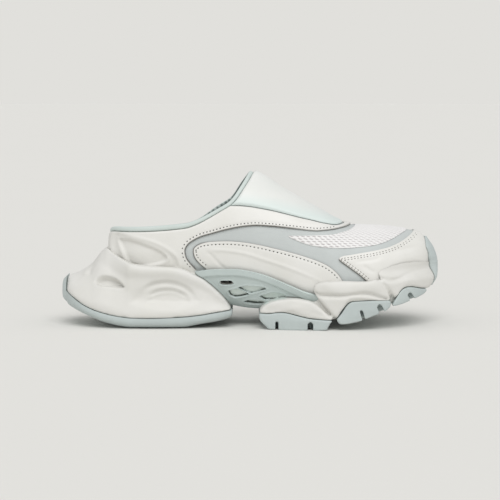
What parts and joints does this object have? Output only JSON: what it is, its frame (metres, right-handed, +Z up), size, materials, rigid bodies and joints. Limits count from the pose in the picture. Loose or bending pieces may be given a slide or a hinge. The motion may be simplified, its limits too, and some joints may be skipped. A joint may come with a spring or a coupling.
{
  "type": "sneaker mule",
  "caption": "Backless slip-on sneaker with a low collar, smooth instep panel, sculpted tail-like heel pod, windowed arch plate and notched forefoot pods.",
  "frame": {"origin": "centre of the shoe's box, on the floor", "axes": "+X to the toe, -Y to the outer (little-toe) side, +Z up"},
  "size_m": [0.3108, 0.1122, 0.1265],
  "materials": {
    "textile": "fine grey-mint weave, white open mesh over the toes",
    "leather": "white synthetic leather, fine grain",
    "smooth_panel": "smooth stretch panel, faint mint",
    "soft_mint": "soft knitted binding",
    "lining": "knitted lining",
    "foam": "matte moulded foam",
    "hard_mint": "satin moulded plate",
    "rubber": "matte rubber"
  },
  "bodies": {
    "root": {"upper": "textile", "quarter_overlay": "leather", "saddle_lateral": "leather", "saddle_medial": "leather", "toe_overlay": "leather", "instep_panel": "smooth_panel", "collar_binding": "soft_mint", "insole": "lining", "midsole": "foam", "arch_plate": "hard_mint", "heel_outsole": "rubber", "outsole_rear_pad": "rubber", "outsole_middle_pad": "rubber", "outsole_toe_pad": "rubber", "toe_guard": "rubber"}
  },
  "joints": []
}
